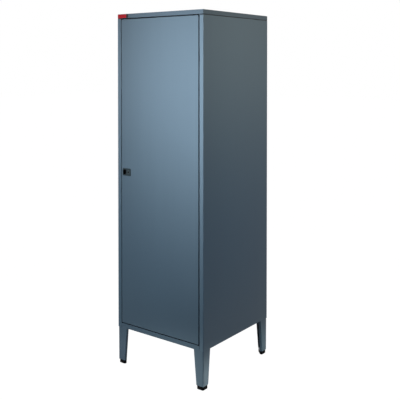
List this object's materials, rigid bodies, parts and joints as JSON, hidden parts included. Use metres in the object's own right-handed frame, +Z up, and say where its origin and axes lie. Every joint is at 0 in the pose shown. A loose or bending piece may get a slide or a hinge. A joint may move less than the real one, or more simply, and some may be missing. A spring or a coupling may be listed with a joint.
{
  "type": "tool chest side locker",
  "caption": "Tall sheet-steel tool locker on pressed tapered legs, with one hinged door, a key lock driving top and bottom rods, height-adjustable shelves and levelling feet.",
  "frame": {"origin": "on the floor, under the middle of the body", "axes": "+Z up, front towards -Y, hinge side towards +X"},
  "size_m": [0.58, 0.602, 1.9],
  "materials": {
    "outside_paint": "blue-grey powder coat, semi-gloss",
    "inside_paint": "blue-grey powder coat, matt",
    "black_plastic": "fine-grained moulded black",
    "zinc_steel": "bright zinc plate",
    "dark_steel": "blackened and oiled",
    "rubber": "matt black"
  },
  "bodies": {
    "carcass": {"left_side_panel": "outside_paint", "right_side_panel": "outside_paint", "floor_panel": "outside_paint", "back_panel": "outside_paint", "top_cap": "outside_paint", "header_rail": "outside_paint", "floor_stop": "outside_paint", "front_left_leg": "outside_paint", "front_right_leg": "outside_paint", "rear_right_leg": "outside_paint", "rear_left_leg": "outside_paint", "front_left_leg_base": "outside_paint", "front_right_leg_base": "outside_paint", "rear_right_leg_base": "outside_paint", "rear_left_leg_base": "outside_paint", "front_left_upright": "inside_paint", "front_right_upright": "inside_paint", "rear_left_upright": "inside_paint", "rear_right_upright": "inside_paint", "shelf_1": "inside_paint", "shelf_2": "inside_paint", "shelf_3": "inside_paint", "shelf_4": "inside_paint", "shelf_1_left_rest": "inside_paint", "shelf_1_right_rest": "inside_paint", "shelf_2_left_rest": "inside_paint", "shelf_2_right_rest": "inside_paint", "shelf_3_left_rest": "inside_paint", "shelf_3_right_rest": "inside_paint", "shelf_4_left_rest": "inside_paint", "shelf_4_right_rest": "inside_paint", "upper_bumper": "rubber", "lower_bumper": "rubber", "upper_pivot_pin": "dark_steel", "lower_pivot_pin": "dark_steel", "pivot_washer": "dark_steel"},
    "door": {"door_skin": "outside_paint", "door_stiffener": "inside_paint", "upper_pivot_bush": "black_plastic", "lower_pivot_bush": "black_plastic", "lock_housing": "black_plastic", "upper_rod_tip_guide": "zinc_steel", "upper_rod_lock_guide": "zinc_steel", "lower_rod_lock_guide": "zinc_steel", "lower_rod_tip_guide": "zinc_steel"},
    "lock": {"lock_cylinder": "dark_steel", "lock_cam": "zinc_steel", "cam_screw": "zinc_steel"},
    "upper_rod": {"upper_rod": "zinc_steel"},
    "lower_rod": {"lower_rod": "zinc_steel"},
    "front_left_foot": {"front_left_foot_pad": "black_plastic", "front_left_foot_stud": "zinc_steel"},
    "front_right_foot": {"front_right_foot_pad": "black_plastic", "front_right_foot_stud": "zinc_steel"},
    "rear_right_foot": {"rear_right_foot_pad": "black_plastic", "rear_right_foot_stud": "zinc_steel"},
    "rear_left_foot": {"rear_left_foot_pad": "black_plastic", "rear_left_foot_stud": "zinc_steel"}
  },
  "joints": [
    {"name": "door_swing", "type": "hinge", "parent": "carcass", "child": "door", "pos_m": [0.248, -0.2905, 1.049], "axis": [0, 0, 1], "range_deg": [0, 110]},
    {"name": "lock_turn", "type": "hinge", "parent": "door", "child": "lock", "pos_m": [-0.2125, -0.29, 1.049], "axis": [0, -1, 0], "range_deg": [0, 90]},
    {"name": "upper_rod_slide", "type": "slide", "parent": "door", "child": "upper_rod", "axis": [0, 0, 1], "range_m": [0, 0.02263]},
    {"name": "lower_rod_slide", "type": "slide", "parent": "door", "child": "lower_rod", "axis": [0, 0, -1], "range_m": [0, 0.02263]},
    {"name": "front_left_foot_level", "type": "slide", "parent": "carcass", "child": "front_left_foot", "axis": [0, 0, 1], "range_m": [-0.015, 0]},
    {"name": "front_right_foot_level", "type": "slide", "parent": "carcass", "child": "front_right_foot", "axis": [0, 0, 1], "range_m": [-0.015, 0]},
    {"name": "rear_right_foot_level", "type": "slide", "parent": "carcass", "child": "rear_right_foot", "axis": [0, 0, 1], "range_m": [-0.015, 0]},
    {"name": "rear_left_foot_level", "type": "slide", "parent": "carcass", "child": "rear_left_foot", "axis": [0, 0, 1], "range_m": [-0.015, 0]}
  ],
  "couplings": [
    {"joint": "lock_turn", "follows": "upper_rod_slide", "rad_per_m": 69.421},
    {"joint": "lower_rod_slide", "follows": "upper_rod_slide", "ratio": 1}
  ]
}
